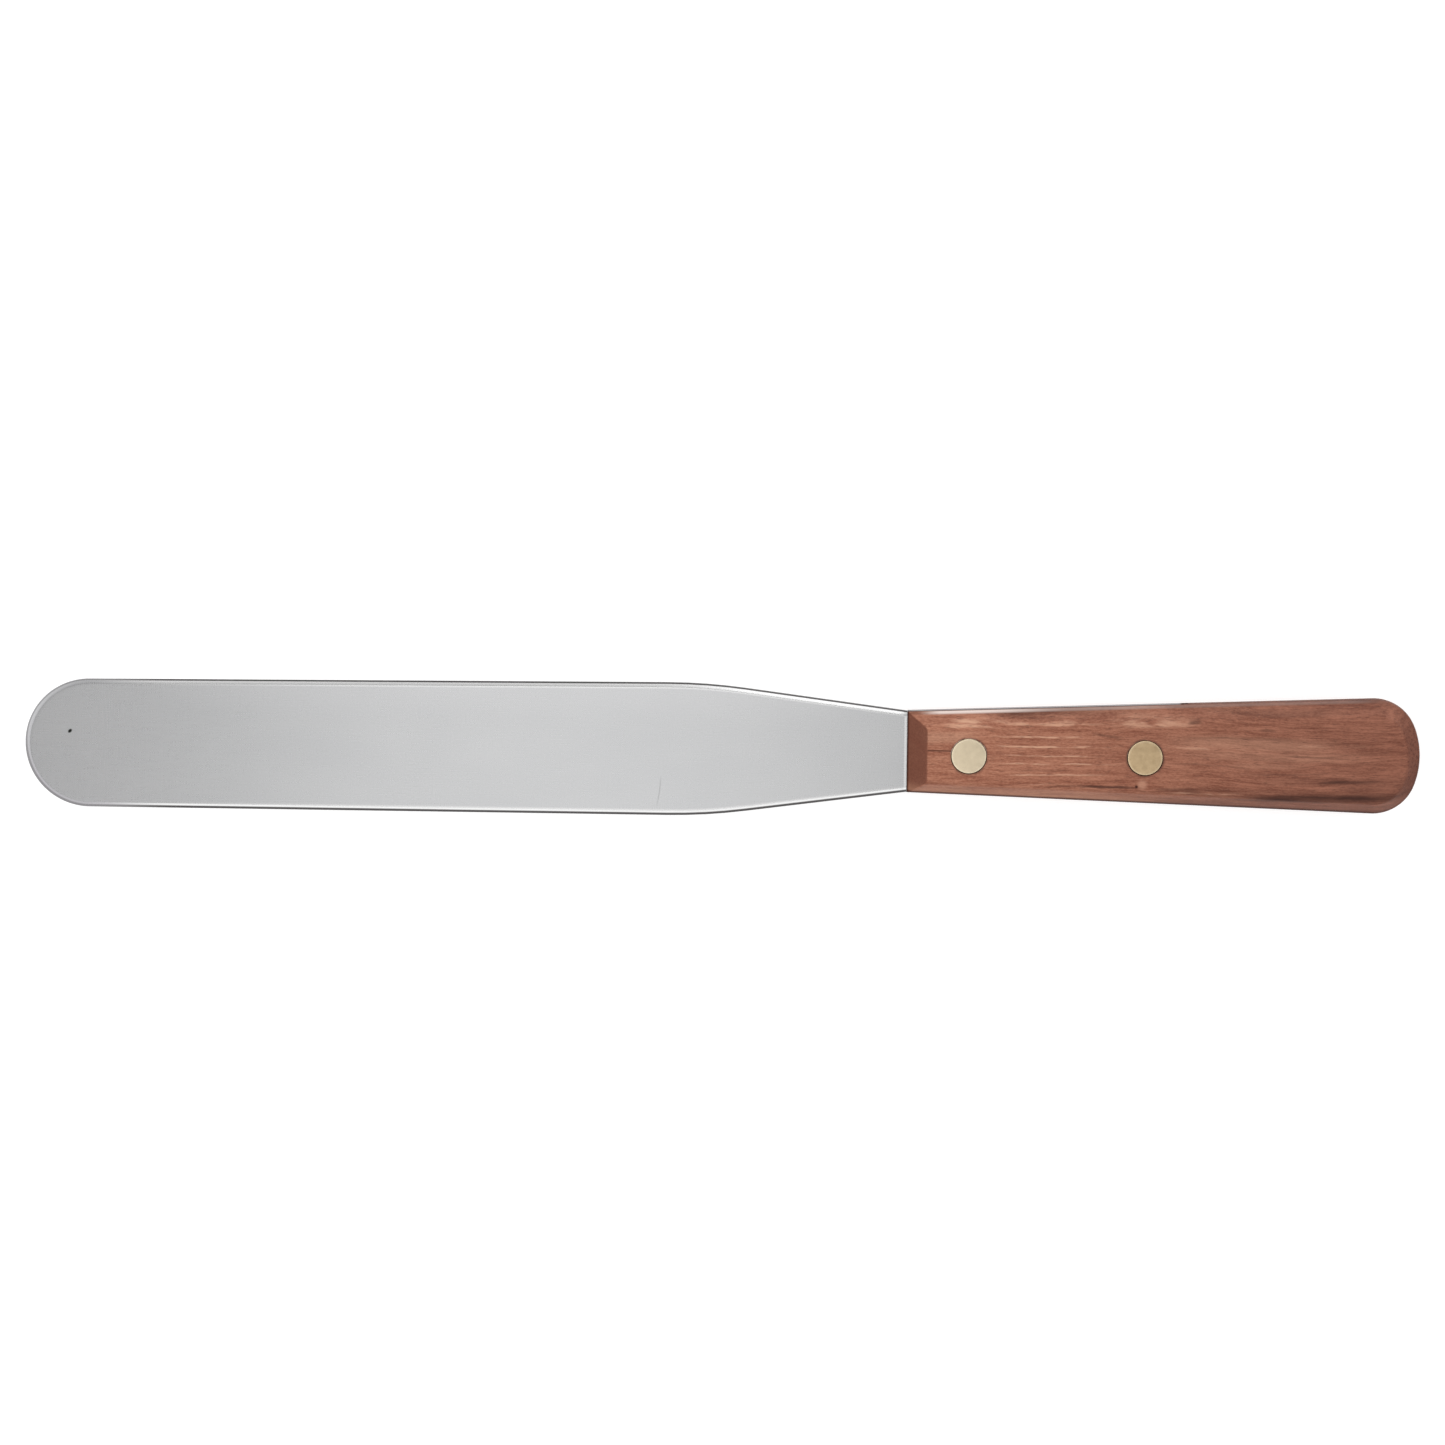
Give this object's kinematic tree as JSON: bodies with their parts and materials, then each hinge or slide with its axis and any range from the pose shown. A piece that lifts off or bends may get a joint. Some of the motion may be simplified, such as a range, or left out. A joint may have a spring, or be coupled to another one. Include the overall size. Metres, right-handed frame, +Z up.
{
  "type": "palette knife",
  "caption": "Straight palette knife: long flexible round-tipped steel blade, half tang riveted into a slotted hardwood handle, for mixing and scraping paint.",
  "frame": {"origin": "on the surface that the knife is laid on, under the middle of its length and width", "axes": "+X along the knife from the blade's tip to the handle's butt, +Y across the blade, +Z up out of the blade's flat"},
  "size_m": [0.3162, 0.0306, 0.013],
  "materials": {
    "blade_steel": "satin",
    "handle_wood": "satin",
    "rivet_brass": "satin"
  },
  "bodies": {
    "root": {"blade": "blade_steel", "handle": "handle_wood", "front_rivet_sleeve": "rivet_brass", "front_rivet_post": "rivet_brass", "rear_rivet_sleeve": "rivet_brass", "rear_rivet_post": "rivet_brass"}
  },
  "joints": []
}
